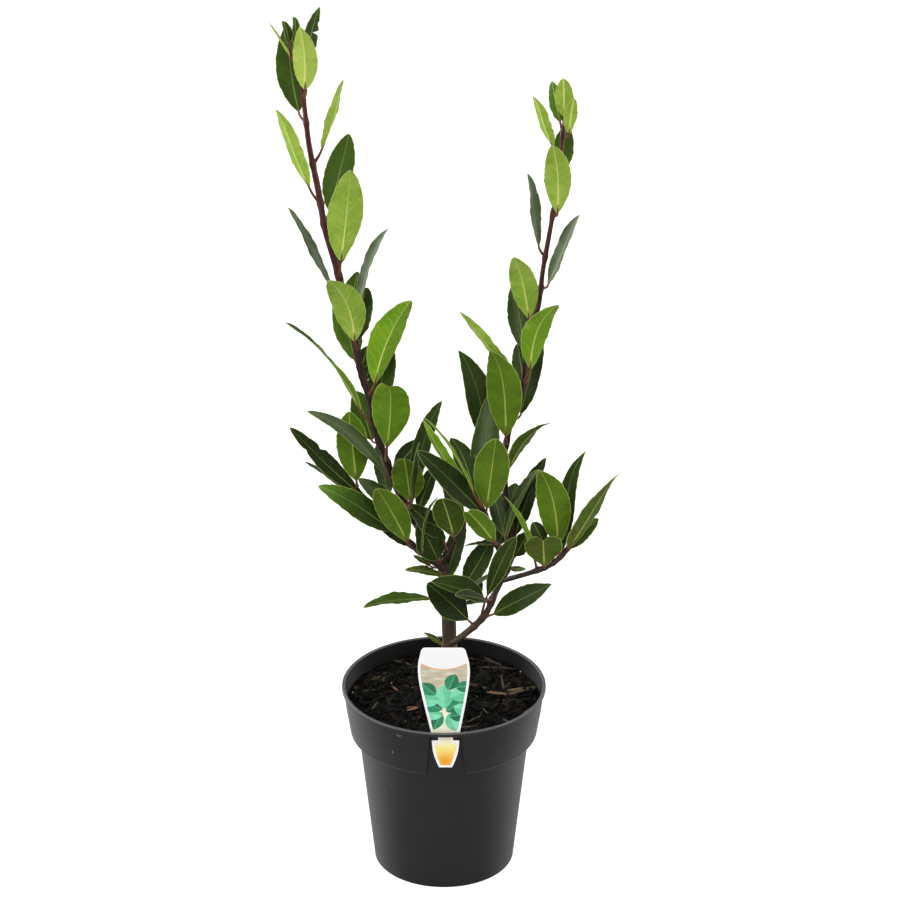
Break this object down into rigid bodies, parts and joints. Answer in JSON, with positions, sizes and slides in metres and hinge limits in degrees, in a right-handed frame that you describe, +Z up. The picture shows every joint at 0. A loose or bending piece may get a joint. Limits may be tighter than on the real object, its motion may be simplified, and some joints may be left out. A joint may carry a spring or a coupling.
{
  "type": "potted bay laurel plant",
  "caption": "Young bay laurel with tall leafy leaders and low side shoots, standing in potting mix in a round dark plastic nursery pot with a plain plant label.",
  "frame": {"origin": "centre of the pot's underside, on the surface that the pot stands on", "axes": "+Z up along the pot's axis; -Y to the front, where the plant label is; +X to the right seen from the front"},
  "size_m": [0.3222, 0.197, 0.8579],
  "materials": {
    "pot_plastic": "semi-matte moulded, faintly scuffed",
    "potting_mix": "damp bark and wood fibre",
    "label_plastic": "printed sheet",
    "bark": "smooth young bark",
    "leaf": "satin upper side, matte underside"
  },
  "bodies": {
    "root": {"pot": "pot_plastic", "potting_mix": "potting_mix", "plant_label": "label_plastic", "trunk": "bark", "left_leader": "leaf", "right_leader": "leaf", "left_low_shoot": "leaf", "centre_left_shoot": "leaf", "centre_shoot": "leaf", "right_low_shoot": "leaf"}
  },
  "joints": []
}
